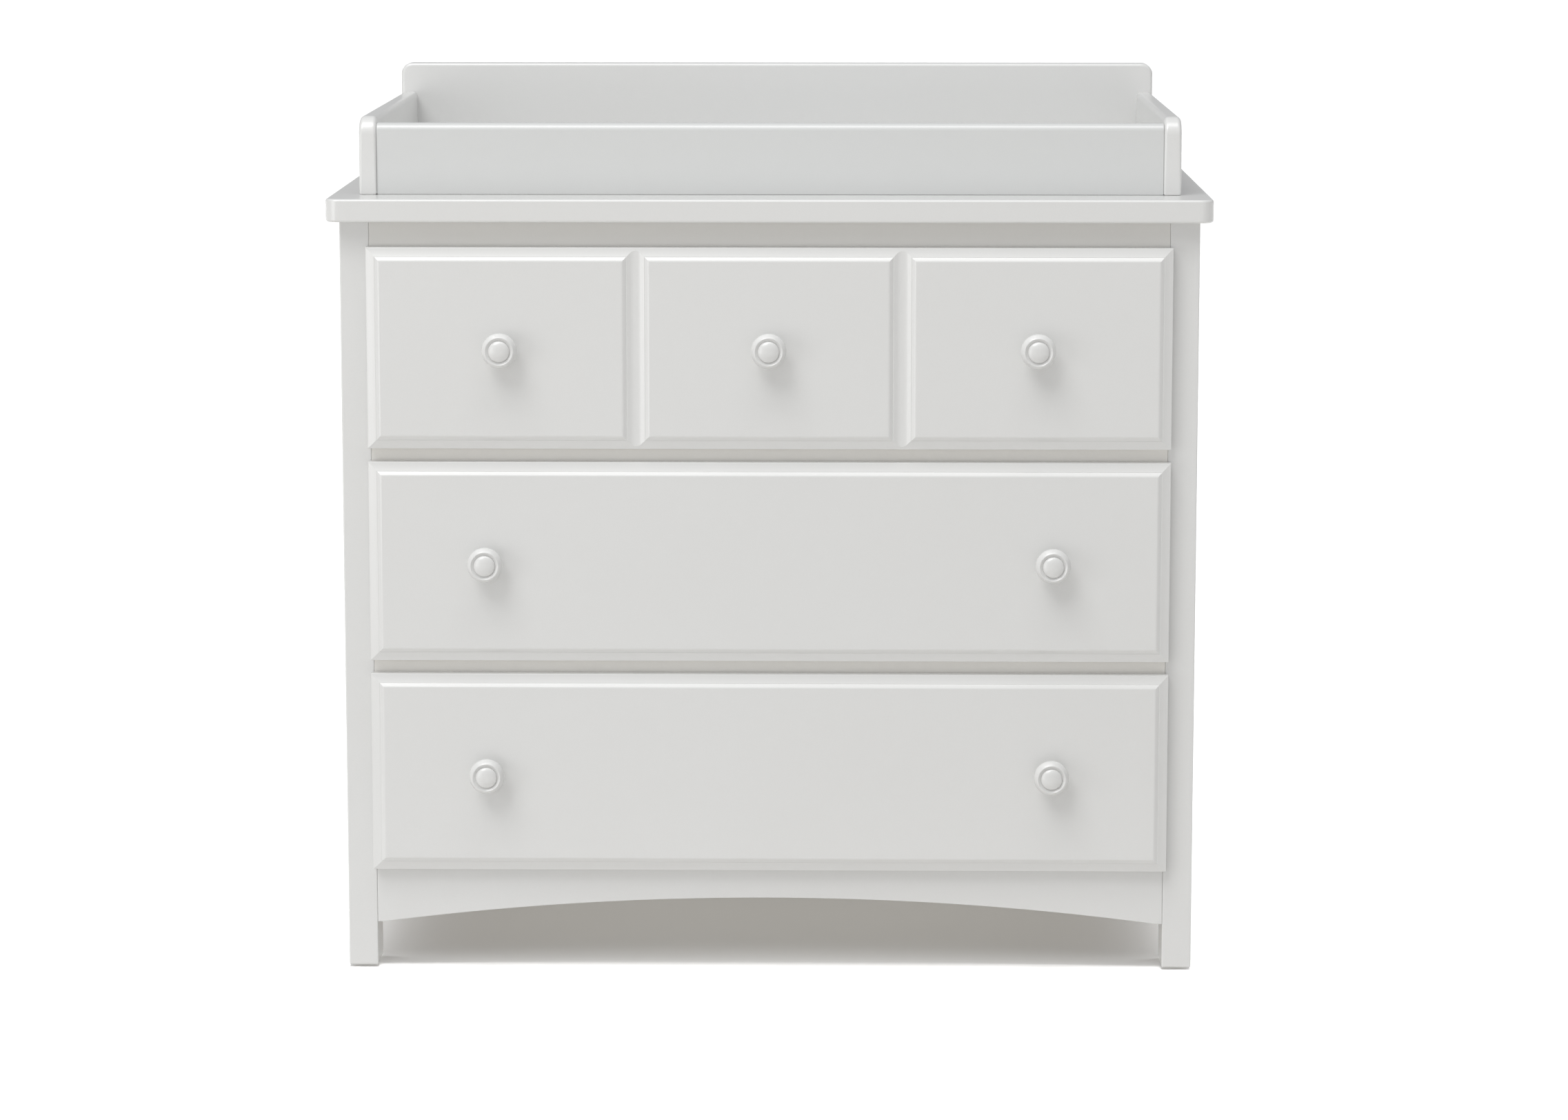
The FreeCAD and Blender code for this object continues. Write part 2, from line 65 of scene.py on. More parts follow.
class Nodes:
    """Short calls for building one material's node tree."""

    def __init__(self, name):
        self.material = bpy.data.materials.new(name)
        self.material.use_nodes = True
        self.tree = self.material.node_tree
        self.shader = self.tree.nodes["Principled BSDF"]

    def add(self, kind, inputs=(), **settings):
        node = self.tree.nodes.new(kind)
        for key, value in settings.items():
            setattr(node, key, value)
        for key, value in dict(inputs).items():
            self.put(node.inputs[key], value)
        return node

    def put(self, socket, value):
        if isinstance(value, bpy.types.NodeSocket):
            self.tree.links.new(value, socket)
        else:
            socket.default_value = value

    def set(self, **values):
        for key, value in values.items():
            self.put(self.shader.inputs[key.replace("_", " ")], value)

    def place(self, scale=(1, 1, 1), turn=(0, 0, 0)):
        """The object's own coordinates in metres, stretched and turned."""
        source = self.add("ShaderNodeTexCoord").outputs["Object"]
        inputs = {"Vector": source, "Scale": scale, "Rotation": turn}
        return self.add("ShaderNodeMapping", inputs).outputs["Vector"]

    def noise(self, vector, scale, detail=3.0, rough=0.5, distortion=0.0):
        inputs = {
            "Vector": vector,
            "Scale": scale,
            "Detail": detail,
            "Roughness": rough,
            "Distortion": distortion,
        }
        return self.add("ShaderNodeTexNoise", inputs).outputs["Fac"]

    def ramp(self, value, low, high, start=0.0, end=1.0):
        """Maps value from the stretch start to end onto low to high."""
        inputs = {
            "Value": value,
            "From Min": start,
            "From Max": end,
            "To Min": low,
            "To Max": high,
        }
        return self.add("ShaderNodeMapRange", inputs).outputs["Result"]

    def math(self, operation, a, b=0.0):
        node = self.add("ShaderNodeMath", operation=operation)
        self.put(node.inputs[0], a)
        self.put(node.inputs[1], b)
        return node.outputs[0]

    def mix(self, factor, a, b, blend="MIX"):
        node = self.add("ShaderNodeMix", data_type="RGBA", blend_type=blend)
        self.put(node.inputs["Factor"], factor)
        self.put(node.inputs["A"], a)
        self.put(node.inputs["B"], b)
        return node.outputs["Result"]

    def bump(self, height, strength, distance, below=None):
        inputs = {"Height": height, "Strength": strength, "Distance": distance}
        if below is not None:
            inputs["Normal"] = below
        return self.add("ShaderNodeBump", inputs).outputs["Normal"]


def rgb(red, green, blue):
    return (red, green, blue, 1.0)


PAINT_WHITE = (0.745, 0.747, 0.738)
DRIFT_TONE = (0.989, 0.987, 0.984)
PLY_THICKNESS = 1.4 * MM


def paint_material(name, grain_axis, tone=(1.0, 1.0, 1.0)):
    """Sprayed satin paint: fine orange peel, faint roller drift, soft uneven gloss."""
    n = Nodes(name)
    drift = n.noise(n.place(), 2.3, 2.0)
    speck = n.noise(n.place(), 900.0, 2.0)
    # A tone other than 1 paints light or shade into the white; only the three piece factors below use
    # it.
    white = [a * b for a, b in zip(PAINT_WHITE, tone)]
    warm = [a * b for a, b in zip(white, DRIFT_TONE)]
    tint = n.mix(n.ramp(drift, 0.0, 1.0, 0.35, 0.65), rgb(*white), rgb(*warm))
    shade = n.ramp(speck, 0.985, 1.0, 0.3, 0.7)
    grey = n.add("ShaderNodeCombineColor", {"Red": shade, "Green": shade, "Blue": shade})
    colour = n.mix(1.0, tint, grey.outputs["Color"], "MULTIPLY")
    stretch = [1.0, 1.0, 1.0]
    stretch["xyz".index(grain_axis)] = 0.04
    grain = n.noise(n.place(stretch), 260.0, 4.0, 0.6)
    peel = n.noise(n.place(), 420.0, 2.0)
    gloss = n.ramp(n.noise(n.place(), 14.0, 4.0), 0.30, 0.36, 0.3, 0.7)
    relief = n.bump(peel, 0.10, 0.0002, n.bump(grain, 0.06, 0.0002))
    n.set(Base_Color=colour, Roughness=gloss, Normal=relief)
    n.shader.inputs["Specular IOR Level"].default_value = 0.5
    n.shader.inputs["Coat Weight"].default_value = 1.0
    n.shader.inputs["Coat Roughness"].default_value = 0.25
    return n.material


def plywood_material(name, grain_axis, layer_axis):
    """Clear-lacquered birch plywood: long grain on the faces, dark and light plies on the edges."""
    n = Nodes(name)
    stretch = [1.0, 1.0, 1.0]
    stretch["xyz".index(grain_axis)] = 0.06
    drawn = n.place(stretch)
    figure = n.noise(drawn, 24.0, 6.0, 0.62, 0.6)
    pores = n.noise(drawn, 420.0, 3.0, 0.7)
    light, dark = rgb(0.66, 0.50, 0.32), rgb(0.50, 0.345, 0.19)
    face = n.mix(n.ramp(figure, 0.0, 1.0, 0.36, 0.68), light, dark)
    face = n.mix(n.ramp(pores, 0.0, 0.35, 0.58, 0.80), face, rgb(0.36, 0.23, 0.12))
    axes = n.add("ShaderNodeSeparateXYZ", {"Vector": n.place()})
    across = axes.outputs["xyz".index(layer_axis)]
    plies = n.math("PINGPONG", n.math("MULTIPLY", across, 1.0 / PLY_THICKNESS), 1.0)
    edge = n.mix(n.ramp(plies, 0.0, 1.0, 0.42, 0.58), rgb(0.60, 0.45, 0.28), rgb(0.33, 0.20, 0.10))
    normal = n.add("ShaderNodeNewGeometry").outputs["Normal"]
    facing = n.add("ShaderNodeSeparateXYZ", {"Vector": normal})
    turned = n.math("ABSOLUTE", facing.outputs["xyz".index(layer_axis)])
    colour = n.mix(n.ramp(turned, 1.0, 0.0, 0.35, 0.6), face, edge)
    relief = n.bump(pores, 0.15, 0.0003, n.bump(figure, 0.10, 0.0004))
    n.set(Base_Color=colour, Roughness=n.ramp(figure, 0.38, 0.52), Normal=relief)
    return n.material


def hardboard_material(name):
    """White-faced hardboard: a matt film with pressed fibres showing through."""
    n = Nodes(name)
    fibres = n.noise(n.place((1, 1, 0.35)), 340.0, 5.0, 0.7, 0.4)
    clouds = n.noise(n.place(), 5.0, 3.0)
    base = n.mix(n.ramp(clouds, 0.0, 1.0, 0.35, 0.65), rgb(0.70, 0.69, 0.66), rgb(0.655, 0.64, 0.605))
    colour = n.mix(n.ramp(fibres, 0.0, 0.30, 0.55, 0.80), base, rgb(0.52, 0.47, 0.40))
    relief = n.bump(fibres, 0.20, 0.0003)
    n.set(Base_Color=colour, Roughness=n.ramp(fibres, 0.55, 0.70), Normal=relief)
    return n.material


def steel_material(name, colour, rough):
    """Zinc-plated steel: drawn along its length, with a faint crystalline bloom and rubbed streaks."""
    n = Nodes(name)
    streaks = n.noise(n.place((1, 0.03, 1)), 900.0, 3.0, 0.6)
    spangle = n.add("ShaderNodeTexVoronoi", {"Vector": n.place(), "Scale": 160.0})
    bright = tuple(min(1.0, c * 1.18) for c in colour[:3]) + (1.0,)
    tone = n.mix(n.ramp(spangle.outputs["Distance"], 0.0, 1.0, 0.1, 0.8), bright, colour)
    gloss = n.ramp(streaks, rough - 0.08, rough + 0.10, 0.3, 0.7)
    n.set(Base_Color=tone, Roughness=gloss, Normal=n.bump(streaks, 0.12, 0.0001))
    n.shader.inputs["Metallic"].default_value = 1.0
    return n.material


def plastic_material(name):
    """Dark moulded polyethylene, scuffed by the floor."""
    n = Nodes(name)
    grain = n.noise(n.place(), 1200.0, 3.0)
    scuffs = n.noise(n.place((1, 0.2, 1)), 500.0, 4.0, 0.7)
    colour = n.mix(n.ramp(scuffs, 0.0, 0.6, 0.55, 0.8), rgb(0.030, 0.026, 0.024), rgb(0.09, 0.08, 0.075))
    n.set(Base_Color=colour, Roughness=n.ramp(scuffs, 0.45, 0.65), Normal=n.bump(grain, 0.2, 0.0002))
    return n.material


# Factors on the white paint of three pieces. They are not observed paint colours but painted light
# and shade: the mid rails lighter (painted light in their recess), the top rail darker and warmer
# (painted shade under the slab), the tray front darker (painted shade). They make up for this
# scene's light and for the depth of the rails, which is a guess. The real object most likely has
# one paint throughout, so set them all to 1 where the part is used in other light.
PAINTED_LIGHT_AND_SHADE_TONES = {
    "mid_rails": (1.14, 1.115, 1.075),
    "top_rail": (0.97, 0.955, 0.93),
    "tray_front": (0.90, 0.91, 0.915),
}

PAINT = {axis: paint_material(f"satin_paint_{axis}", axis) for axis in "xyz"}
# Lit and shaded copies of the paint: painted light on the mid rails, painted shade on the top rail and
# the tray front.
RAIL_PAINT_WITH_PAINTED_LIGHT = paint_material("satin_paint_rail_painted_light", "x", PAINTED_LIGHT_AND_SHADE_TONES["mid_rails"])
TOP_RAIL_PAINT_WITH_PAINTED_SHADE = paint_material("satin_paint_top_rail_painted_shade", "x", PAINTED_LIGHT_AND_SHADE_TONES["top_rail"])
TRAY_PAINT_WITH_PAINTED_SHADE = paint_material("satin_paint_tray_painted_shade", "x", PAINTED_LIGHT_AND_SHADE_TONES["tray_front"])
PLY_SIDE = plywood_material("birch_ply_side", "y", "x")
PLY_BACK = plywood_material("birch_ply_back", "x", "y")
HARDBOARD = hardboard_material("white_hardboard")
STEEL = steel_material("zinc_steel", rgb(0.40, 0.41, 0.42), 0.30)
SCREW = steel_material("screw_steel", rgb(0.36, 0.36, 0.37), 0.26)
PLASTIC = plastic_material("glide_plastic")


# ---------------------------------------------------------------- mesh helpers


def finish_piece(node, mesh_data, material, sharp=None):
    """Makes the mesh an object that stands for a CAD node and moves with its body."""
    mesh = bpy.data.meshes.new(f"show_{node}")
    mesh_data.to_mesh(mesh)
    mesh_data.free()
    mesh.materials.append(material)
    piece = bpy.data.objects.new(f"show_{node}", mesh)
    bpy.context.scene.collection.objects.link(piece)
    mesh.polygons.foreach_set("use_smooth", [True] * len(mesh.polygons))
    if sharp is not None:
        mesh.set_sharp_from_angle(angle=math.radians(sharp))
    weighted = piece.modifiers.new("even_shading", "WEIGHTED_NORMAL")
    weighted.keep_sharp = True
    weighted.weight = 100
    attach(piece, BODY_OF[node])
    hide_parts(node)
    return piece


class Corner:
    """One rounded corner of a board's outline, and the rounding of the board's edge there."""

    def __init__(self, u, v, radius=0.5 * MM, edge=0.5 * MM, edge_end=None):
        self.at = Vector((u, v))
        self.radius = radius
        self.edge = edge
        self.edge_end = edge if edge_end is None else edge_end


SMALL_ARC_STEPS, LARGE_ARC_STEPS = 4, 12


def outline_points(corners):
    """Every outline point as (arc centre, arc radius, normal, mitre, edge rounding)."""
    points = []
    for i, corner in enumerate(corners):
        before = (corner.at - corners[i - 1].at).normalized()
        after = (corners[(i + 1) % len(corners)].at - corner.at).normalized()
        first = Vector((before.y, -before.x))
        last = Vector((after.y, -after.x))
        mitre = (first + last) / (1 + first.dot(last))
        centre = corner.at - mitre * corner.radius
        turn = math.atan2(first.cross(last), first.dot(last))
        steps = SMALL_ARC_STEPS if corner.radius < 2 * MM else LARGE_ARC_STEPS
        for k in range(steps + 1):
            part = k / steps
            angle = turn * part
            normal = Vector(
                (
                    first.x * math.cos(angle) - first.y * math.sin(angle),
                    first.x * math.sin(angle) + first.y * math.cos(angle),
                )
            )
            edge = corner.edge + (corner.edge_end - corner.edge) * part
            points.append((centre, corner.radius, normal, mitre, edge))
    return points


def inset(point, distance):
    """Where an outline point goes when the outline is set in by a distance."""
    centre, radius, normal, mitre, _ = point
    if distance <= radius:
        return centre + normal * (radius - distance)
    return centre - mitre * (distance - radius)


def prism_mesh(axis, corners, low, high, low_scale=1.0, high_scale=1.0, steps=6):
    """A board with a rounded outline, extruded along an axis, its edges rounded at both ends."""
    points = outline_points(corners)
    rings = []
    for end, outward, scale in ((low, -1, low_scale), (high, 1, high_scale)):
        levels = [math.pi / 2 * k / steps for k in range(steps + 1)]
        if outward < 0:
            levels.reverse()
        for angle in levels:
            ring = []
            for point in points:
                radius = point[4] * scale
                flat = inset(point, radius * (1 - math.cos(angle)))
                depth = end - outward * radius * (1 - math.sin(angle))
                ring.append(lift(axis, flat, depth))
            rings.append(ring)
    return rings_mesh(rings)


def lift(axis, flat, depth):
    """The point in space of outline coordinates and a depth along the extrusion's axis."""
    if axis == "x":
        return Vector((depth, flat.x, flat.y))
    if axis == "y":
        return Vector((flat.x, depth, flat.y))
    return Vector((flat.x, flat.y, depth))


def rings_mesh(rings):
    """Skins rings of equally many points, and closes the two ends."""
    made = bmesh.new()
    grid = [[made.verts.new(p) for p in ring] for ring in rings]
    count = len(grid[0])
    for a, b in zip(grid, grid[1:]):
        for i in range(count):
            j = (i + 1) % count
            made.faces.new((a[i], a[j], b[j], b[i]))
    made.faces.new(grid[0])
    made.faces.new(grid[-1])
    clean(made)
    return made


def clean(made):
    bmesh.ops.remove_doubles(made, verts=made.verts, dist=1e-6)
    bmesh.ops.dissolve_degenerate(made, edges=made.edges, dist=1e-7)
    bmesh.ops.recalc_face_normals(made, faces=made.faces)


def rectangle(low, high, radius, edge):
    (u0, v0), (u1, v1) = low, high
    return [Corner(u, v, radius, edge) for u, v in ((u0, v0), (u1, v0), (u1, v1), (u0, v1))]


def plain_board(node, axis, material, radius=0.6 * MM, edge=0.4 * MM):
    """A straight board along an axis, every edge slightly eased."""
    low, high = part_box(node)
    flat = [i for i in range(3) if i != "xyz".index(axis)]
    corners = rectangle([low[i] for i in flat], [high[i] for i in flat], radius, edge)
    along = "xyz".index(axis)
    return finish_piece(node, prism_mesh(axis, corners, low[along], high[along]), material)


# ---------------------------------------------------------------- the case


def make_slab():
    low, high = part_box("top_slab")
    corners = rectangle(low.xy, high.xy, 14 * MM, 3 * MM)
    made = prism_mesh("z", corners, low.z, high.z, low_scale=0.8)
    finish_piece("top_slab", made, PAINT["x"])


def make_posts():
    for end in ("front", "rear"):
        for side in SIDES:
            node = f"post_{end}_{side}"
            low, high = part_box(node)
            corners = rectangle(low.xy, high.xy, 1.4 * MM, 2.6 * MM)
            made = prism_mesh("z", corners, low.z, high.z, high_scale=0.1)
            finish_piece(node, made, PAINT["z"])


def make_rails():
    # The mid rails' paint is lighter, painted light; the top rail's is darker and warmer, painted shade.
    for node in ("mid_rail_upper", "mid_rail_lower"):
        plain_board(node, "x", RAIL_PAINT_WITH_PAINTED_LIGHT)
    plain_board("top_rail", "x", TOP_RAIL_PAINT_WITH_PAINTED_SHADE)
    for node in ("rear_rail_top", "rear_rail_bottom"):
        plain_board(node, "x", PAINT["x"])
    for side in SIDES:
        for end in ("top", "bottom"):
            plain_board(f"side_rail_{end}_{side}", "y", PAINT["y"], 0.9 * MM)
        plain_board(f"side_panel_{side}", "z", PAINT["z"])


ARCH_END = 6.5 * MM
ARCH_RISE = 27 * MM
ARCH_STEPS = 48
APRON_EDGE = 0.8 * MM
APRON_EDGE_STEPS = 4


def make_apron():
    """The arched lower rail: its underside is one arc between two short level ends."""
    low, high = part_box("apron")
    half = high.x - ARCH_END
    radius = (half**2 + ARCH_RISE**2) / (2 * ARCH_RISE)
    sweep = math.asin(half / radius)
    centre = Vector((0, low.z + ARCH_RISE - radius))
    points = []
    for k in range(ARCH_STEPS + 1):
        angle = sweep * (2 * k / ARCH_STEPS - 1)
        normal = Vector((math.sin(angle), math.cos(angle)))
        points.append((centre + normal * radius, -normal))
    down, right, up, left = Vector((0, -1)), Vector((1, 0)), Vector((0, 1)), Vector((-1, 0))
    points += [
        (Vector((high.x, low.z)), down + right),
        (Vector((high.x, high.z)), up + right),
        (Vector((low.x, high.z)), up + left),
        (Vector((low.x, low.z)), down + left),
    ]
    rings = []
    for end, outward in ((low.y, -1), (high.y, 1)):
        angles = [math.pi / 2 * k / APRON_EDGE_STEPS for k in range(APRON_EDGE_STEPS + 1)]
        if outward < 0:
            angles.reverse()
        for angle in angles:
            depth = end - outward * APRON_EDGE * (1 - math.sin(angle))
            shrink = APRON_EDGE * (1 - math.cos(angle))
            rings.append([lift("y", at - out * shrink, depth) for at, out in points])
    finish_piece("apron", rings_mesh(rings), PAINT["x"], sharp=40)


# ---------------------------------------------------------------- the changing tray


def make_tray():
    for side in SIDES:
        node = f"tray_side_{side}"
        low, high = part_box(node)
        corners = [
            Corner(low.y, low.z, 1.5 * MM, 2.2 * MM),
            Corner(high.y, low.z, 0.5 * MM, 0.5 * MM),
            Corner(high.y, high.z, 0.5 * MM, 5.5 * MM),
            Corner(low.y, high.z, 20 * MM, 5.5 * MM, 3.4 * MM),
        ]
        finish_piece(node, prism_mesh("x", corners, low.x, high.x, steps=8), PAINT["y"])
    low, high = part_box("tray_front")
    corners = [
        Corner(low.y, low.z, 1.2 * MM, 0.8 * MM),
        Corner(high.y, low.z, 1.2 * MM, 0.8 * MM),
        Corner(high.y, high.z, 8.6 * MM, 1.2 * MM),
        Corner(low.y, high.z, 8.6 * MM, 1.2 * MM),
    ]
    # The tray front's paint is darker: painted shade.
    finish_piece("tray_front", prism_mesh("x", corners, low.x, high.x), TRAY_PAINT_WITH_PAINTED_SHADE)
    low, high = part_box("tray_back")
    corners = [
        Corner(low.x, low.z, 0.8 * MM, 4 * MM, 1 * MM),
        Corner(high.x, low.z, 0.8 * MM, 1 * MM, 4 * MM),
        Corner(high.x, high.z, 13 * MM, 4 * MM),
        Corner(low.x, high.z, 13 * MM, 4 * MM),
    ]
    finish_piece("tray_back", prism_mesh("y", corners, low.y, high.y, steps=8), PAINT["x"])


# ---------------------------------------------------------------- drawers


# A drawer front's routed edge, as insets from its outer wall and depths behind its flat field:
# an eased arris, a hollow band, a narrow ledge, and a slope that rounds out into the field.
ARRIS, ARRIS_DROP, ARRIS_STEPS = 0.8 * MM, 0.7 * MM, 6
BAND_END, BAND_LOW, BAND_HIGH = 9.0 * MM, 6.3 * MM, 2.95 * MM
BAND_SLOPE, BAND_STEPS = 0.31, 24
LEDGE_END, LEDGE_DEPTH = 9.54 * MM, 3.0 * MM
BEAD_START, BEAD_LOW = 9.9 * MM, 2.65 * MM
BEAD_END, BEAD_HIGH, BEAD_STEPS = 12.4 * MM, 0.85 * MM, 8
FIELD_START = 15.0 * MM
BACK_EASE = 0.6 * MM

# The top front's two divides: where they are, how many steps of the band run past them, and
# how far from a divide's middle its rounded floor meets the plain profile.
DIVIDE_AT = 137.5 * MM
DIVIDE_BAND_STEPS = 6
DIVIDE_ROUND = 5 * MM


def front_profile():
    """The routed edge, from the outer wall to the flat field, as (inset, depth) pairs."""
    profile = []
    for k in range(ARRIS_STEPS + 1):
        angle = math.pi / 2 * k / ARRIS_STEPS
        drop = ARRIS_DROP * (1 - math.sin(angle))
        profile.append((ARRIS * (1 - math.cos(angle)), BAND_LOW + drop))
    width = BAND_END - ARRIS
    curve = ((BAND_LOW - BAND_HIGH) / width - BAND_SLOPE) / width
    for k in range(1, BAND_STEPS + 1):
        u = width * k / BAND_STEPS
        profile.append((ARRIS + u, BAND_LOW - BAND_SLOPE * u - curve * u * u))
    profile += [(LEDGE_END, LEDGE_DEPTH), (BEAD_START, BEAD_LOW), (BEAD_END, BEAD_HIGH)]
    knee = BEAD_END + (BEAD_END - BEAD_START) * BEAD_HIGH / (BEAD_LOW - BEAD_HIGH)
    for k in range(1, BEAD_STEPS + 1):
        t = k / BEAD_STEPS
        s = (1 - t) ** 2 * BEAD_END + 2 * t * (1 - t) * knee + t * t * FIELD_START
        profile.append((s, (1 - t) ** 2 * BEAD_HIGH))
    return profile


def ring_corners(x0, x1, z0, z1, insets):
    """The four corners of a rectangle set in by left, right and upright amounts."""
    left, right, upright = insets
    return [
        (x0 + left, z0 + upright),
        (x1 - right, z0 + upright),
        (x1 - right, z1 - upright),
        (x0 + left, z1 - upright),
    ]


def make_front(level):
    """A drawer front with its routed edge, divided into three fields on the top drawer."""
    node = f"drawer_{level}_front"
    low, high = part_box(node)
    divided = level == "top"
    breaks = [low.x, -DIVIDE_AT, DIVIDE_AT, high.x] if divided else [low.x, high.x]
    profile = front_profile()
    made = bmesh.new()

    def quad(points):
        made.faces.new([made.verts.new((x, low.y + y, z)) for x, y, z in points])

    def band(first, second):
        """A strip between two rings of corners, each with its depth."""
        (ring_a, depth_a), (ring_b, depth_b) = first, second
        for i in range(len(ring_a)):
            j = (i + 1) % len(ring_a)
            (ax, az), (bx, bz) = ring_a[i], ring_a[j]
            (cx, cz), (dx, dz) = ring_b[j], ring_b[i]
            quad([(ax, depth_a, az), (bx, depth_a, bz), (cx, depth_b, cz), (dx, depth_b, dz)])

    def whole_ring(s):
        """The outline of the whole front set in by s, with a point at each divide."""
        inner = breaks[1:-1]
        bottom = [(x, low.z + s) for x in [low.x + s, *inner, high.x - s]]
        top = [(x, high.z - s) for x in [high.x - s, *reversed(inner), low.x + s]]
        return bottom + top

    thick = high.y - low.y
    outer = [(whole_ring(BACK_EASE), thick), (whole_ring(0), thick - BACK_EASE)]
    shared = ARRIS_STEPS + 1 + DIVIDE_BAND_STEPS if divided else 1
    outer += [(whole_ring(s), depth) for s, depth in profile[:shared]]
    for first, second in zip(outer, outer[1:]):
        band(first, second)
    made.faces.new([made.verts.new((x, high.y, z)) for x, z in whole_ring(BACK_EASE)])
    start = profile[shared - 1][0]
    for i, (x0, x1) in enumerate(zip(breaks, breaks[1:])):
        divide_left, divide_right = i > 0, i < len(breaks) - 2
        rings = []
        for s, depth in profile[shared - 1 :]:
            across = divide_offset(s, start)
            insets = (across if divide_left else s, across if divide_right else s, s)
            rings.append((ring_corners(x0, x1, low.z, high.z, insets), depth))
        for first, second in zip(rings, rings[1:]):
            band(first, second)
        field, depth = rings[-1]
        made.faces.new([made.verts.new((x, low.y + depth, z)) for x, z in field])
    clean(made)
    finish_piece(node, made, PAINT["x"], sharp=9)


def divide_offset(s, start):
    """How far from a divide's middle the inset s lies, so that the divide's floor is round."""
    if s >= DIVIDE_ROUND:
        return s
    return DIVIDE_ROUND * math.sqrt((s - start) / (DIVIDE_ROUND - start))


def catmull(points, steps):
    """A smooth line through points."""
    line = []
    count = len(points)
    for i in range(count - 1):
        p0 = Vector(points[max(i - 1, 0)])
        p1, p2 = Vector(points[i]), Vector(points[i + 1])
        p3 = Vector(points[min(i + 2, count - 1)])
        for k in range(steps):
            t = k / steps
            line.append(
                0.5
                * (
                    2 * p1
                    + (p2 - p0) * t
                    + (2 * p0 - 5 * p1 + 4 * p2 - p3) * t * t
                    + (3 * p1 - p0 - 3 * p2 + p3) * t**3
                )
            )
    line.append(Vector(points[-1]))
    return line


# The turned knob's outline in mm, as (radius, height above the drawer front), foot to crown.
# Each list is one smooth stretch, and stretches meet at a sharp line.
KNOB_TURNING = [
    [(10.9, 0.0), (11.1, 0.9), (10.6, 2.0), (9.5, 3.6), (9.2, 5.2), (10.2, 6.9), (12.6, 8.6)]
    + [(15.4, 10.4), (17.5, 12.6), (18.3, 15.2), (18.1, 17.8), (17.2, 20.4), (16.0, 22.4)]
    + [(14.9, 23.6), (14.2, 23.9), (13.6, 23.6), (12.4, 22.7), (11.0, 21.9)],
    [(11.0, 21.9), (10.85, 23.0), (10.4, 23.9), (9.2, 24.9), (7.0, 25.9), (3.8, 26.7), (0.0, 27.0)],
]


KNOB_SEGMENTS = 96
KNOB_STRETCH_STEPS = 5


def make_knob(node):
    low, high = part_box(node)
    middle = (low + high) / 2
    outline = []
    for stretch in KNOB_TURNING:
        outline += catmull(stretch, KNOB_STRETCH_STEPS)
    made = bmesh.new()
    rings = []
    for radius, reach in outline[:-1]:
        ring = []
        for k in range(KNOB_SEGMENTS):
            angle = 2 * math.pi * k / KNOB_SEGMENTS
            x = middle.x + radius * MM * math.cos(angle)
            z = middle.z + radius * MM * math.sin(angle)
            ring.append(made.verts.new((x, high.y - reach * MM, z)))
        rings.append(ring)
    for a, b in zip(rings, rings[1:]):
        for i in range(KNOB_SEGMENTS):
            j = (i + 1) % KNOB_SEGMENTS
            made.faces.new((a[i], a[j], b[j], b[i]))
    crown = made.verts.new((middle.x, high.y - outline[-1][1] * MM, middle.z))
    for i in range(KNOB_SEGMENTS):
        made.faces.new((rings[-1][i], rings[-1][(i + 1) % KNOB_SEGMENTS], crown))
    made.faces.new(rings[0])
    clean(made)
    finish_piece(node, made, PAINT["y"], sharp=42)


def make_drawers():
    for level in LEVELS:
        make_front(level)
        for side in SIDES:
            plain_board(f"drawer_{level}_side_{side}", "y", PLY_SIDE, 1.6 * MM)
        plain_board(f"drawer_{level}_back", "x", PLY_BACK, 1.6 * MM)
        paint_node(f"drawer_{level}_bottom", HARDBOARD)
    for node in frame["nodes"]:
        if node.startswith("knob_"):
            make_knob(node)


def paint_node(node, material):
    """Gives a CAD node that stays as it is its finished material."""
    for slot in frame["nodes"][node].material_slots:
        slot.material = material


def finish_hardware():
    for node in frame["nodes"]:
        if node.startswith("slide_") or node.endswith("_runners") or node == "tray_plates":
            paint_node(node, STEEL)
        if node.endswith("_screws"):
            paint_node(node, SCREW)
    paint_node("glides", PLASTIC)
    paint_node("back_panel", HARDBOARD)


# ---------------------------------------------------------------- floor, light and camera


FLOOR_RADIUS = 60.0


def make_floor():
    """A pale floor whose own light doesn't fall back on the object: the world gives that."""
    n = Nodes("pale_floor")
    cloud = n.noise(n.place(), 1.7, 2.0)
    tone = n.mix(n.ramp(cloud, 0.0, 1.0, 0.4, 0.6), rgb(0.93, 0.928, 0.925), rgb(0.92, 0.918, 0.915))
    n.set(Base_Color=tone, Roughness=0.6)
    n.shader.inputs["Specular IOR Level"].default_value = 0.1
    made = bmesh.new()
    bmesh.ops.create_circle(made, cap_ends=True, radius=FLOOR_RADIUS, segments=64)
    mesh = bpy.data.meshes.new("floor")
    made.to_mesh(mesh)
    made.free()
    mesh.materials.append(n.material)
    floor = bpy.data.objects.new("floor", mesh)
    bpy.context.scene.collection.objects.link(floor)
    floor.visible_diffuse = False
    return floor


def aim(item, place, target):
    item.location = place
    direction = Vector(target) - Vector(place)
    item.rotation_mode = "QUATERNION"
    item.rotation_quaternion = direction.to_track_quat("-Z", "Y")


def add_light(name, light, place, target):
    item = bpy.data.objects.new(name, light)
    bpy.context.scene.collection.objects.link(item)
    aim(item, place, target)
    return item


def area_light(name, place, target, size, power):
    light = bpy.data.lights.new(name, "AREA")
    light.shape = "RECTANGLE"
    light.size, light.size_y = size
    light.energy = power
    return add_light(name, light, place, target)


def sun_light(name, place, strength, spread):
    """A broad distant light that shines from a place towards the origin."""
    light = bpy.data.lights.new(name, "SUN")
    light.energy = strength
    light.angle = math.radians(spread)
    return add_light(name, light, place, (0, 0, 0))


